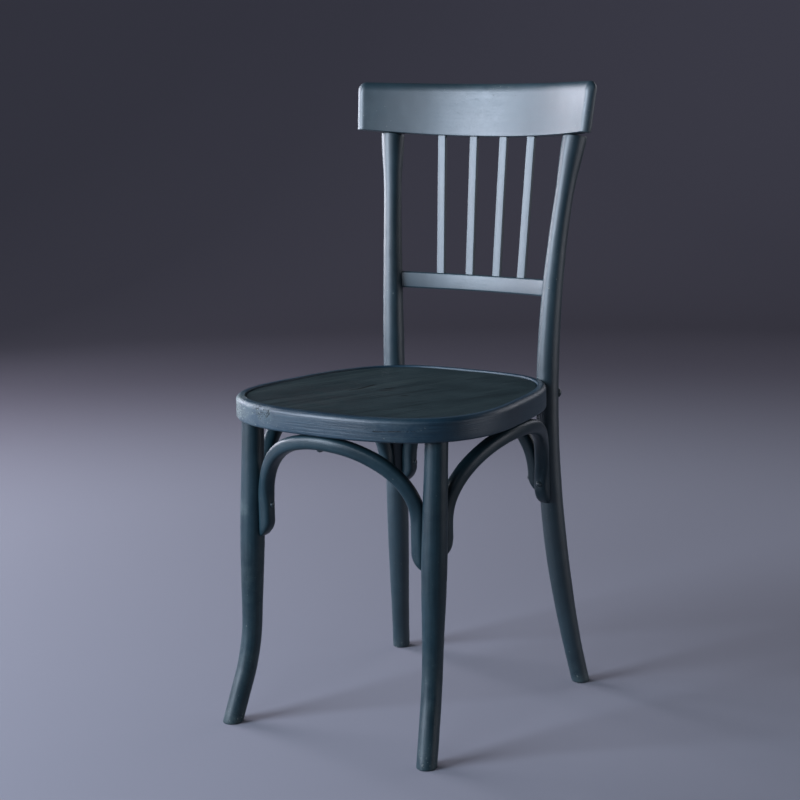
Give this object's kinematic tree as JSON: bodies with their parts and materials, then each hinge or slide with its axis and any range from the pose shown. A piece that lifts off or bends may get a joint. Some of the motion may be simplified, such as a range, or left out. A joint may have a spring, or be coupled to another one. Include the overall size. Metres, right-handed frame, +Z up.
{
  "type": "bentwood side chair",
  "caption": "Painted bentwood side chair: bent ring seat with panel, bowed back legs, slatted back under a curved crest, and arched braces under the seat.",
  "frame": {"origin": "on the floor under the middle of the chair's bounding box", "axes": "+Z up, -Y towards the front of the chair, +X towards the sitter's left"},
  "size_m": [0.4066, 0.4692, 0.8771],
  "materials": {
    "seat_paint": "worn satin paint",
    "panel_paint": "worn satin paint",
    "leg_paint": "brushed satin paint",
    "post_paint": "brushed satin paint",
    "crest_paint": "brushed satin paint",
    "rail_paint": "brushed satin paint",
    "slat_paint": "brushed satin paint",
    "brace_paint": "brushed satin paint",
    "bolt_steel": "painted over",
    "screw_steel": "painted over"
  },
  "bodies": {
    "root": {"seat_ring": "seat_paint", "seat_panel": "panel_paint", "front_leg_left": "leg_paint", "front_leg_right": "leg_paint", "rear_leg_left": "post_paint", "rear_leg_right": "post_paint", "crest_rail": "crest_paint", "back_cross_rail": "rail_paint", "back_slat_1": "slat_paint", "back_slat_2": "slat_paint", "back_slat_3": "slat_paint", "back_slat_4": "slat_paint", "brace_front": "brace_paint", "brace_left": "brace_paint", "brace_rear": "brace_paint", "brace_right": "brace_paint", "seat_bolt_left": "bolt_steel", "seat_bolt_right": "bolt_steel", "seat_washer_left": "bolt_steel", "seat_washer_right": "bolt_steel", "seat_nut_left": "bolt_steel", "seat_nut_right": "bolt_steel", "brace_screw_front_1": "screw_steel", "brace_screw_front_2": "screw_steel", "brace_screw_front_top": "screw_steel", "brace_screw_left_1": "screw_steel", "brace_screw_left_2": "screw_steel", "brace_screw_left_top": "screw_steel", "brace_screw_rear_1": "screw_steel", "brace_screw_rear_2": "screw_steel", "brace_screw_rear_top": "screw_steel", "brace_screw_right_1": "screw_steel", "brace_screw_right_2": "screw_steel", "brace_screw_right_top": "screw_steel"}
  },
  "joints": []
}
